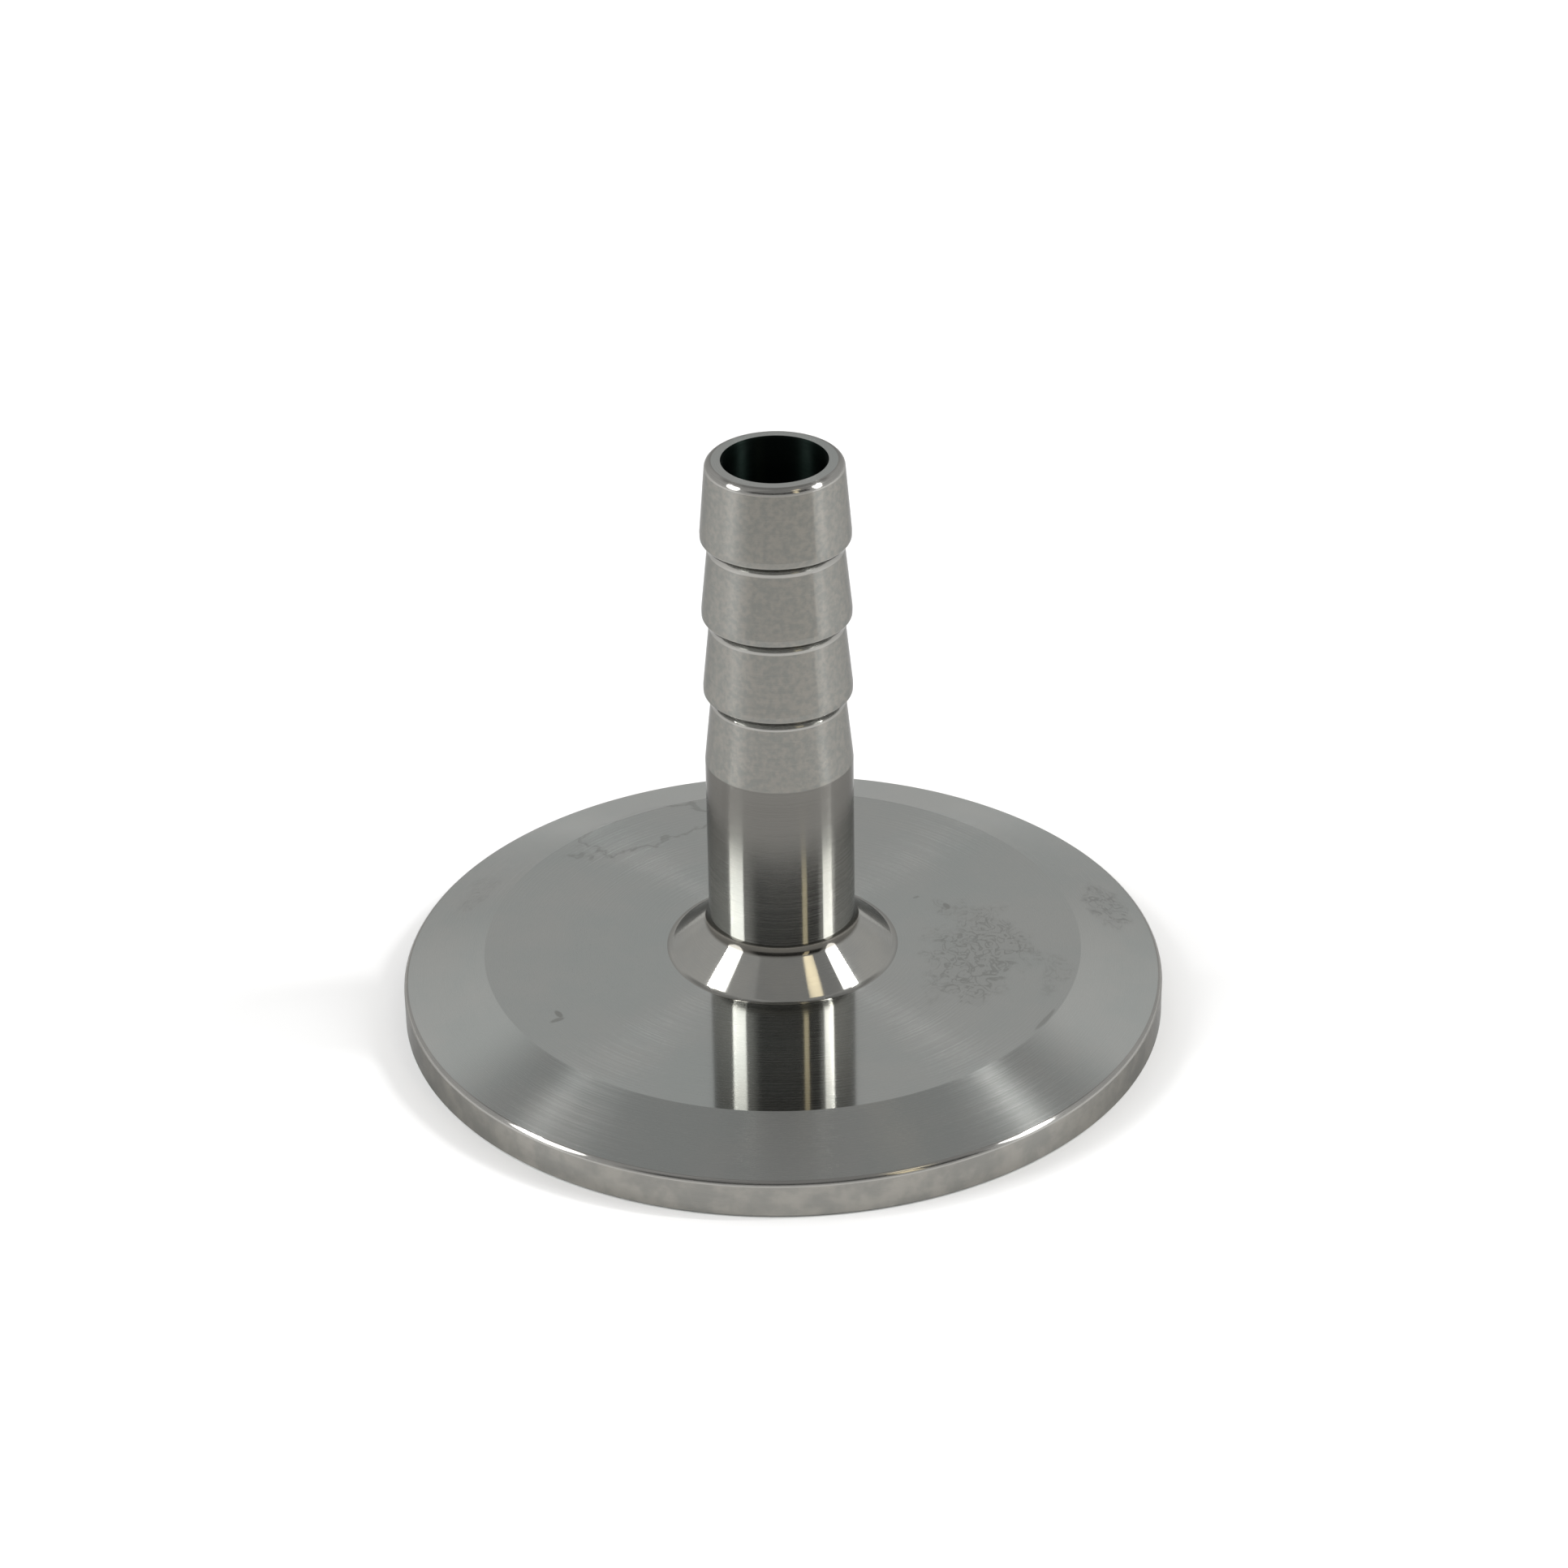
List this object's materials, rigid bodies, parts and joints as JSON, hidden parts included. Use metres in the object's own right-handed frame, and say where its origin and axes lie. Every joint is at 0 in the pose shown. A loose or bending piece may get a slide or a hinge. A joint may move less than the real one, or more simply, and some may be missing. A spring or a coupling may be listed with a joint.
{
  "type": "sanitary clamp hose barb",
  "caption": "Stainless steel clamp ferrule with a barbed hose tail: a tapered flange for a clamp ring, a cone, a plain stem, ridges that hold a hose, and a through bore.",
  "frame": {"origin": "centre of the sealing face, on the bore axis", "axes": "+Z along the bore from the sealing face towards the hose tail, and +X and +Y in the sealing face"},
  "size_m": [0.0506, 0.0506, 0.04],
  "materials": {
    "stainless_steel": "fine turned, with a polished plain stem and satin barbs"
  },
  "bodies": {
    "root": {"hose_barb_ferrule": "stainless_steel"}
  },
  "joints": []
}
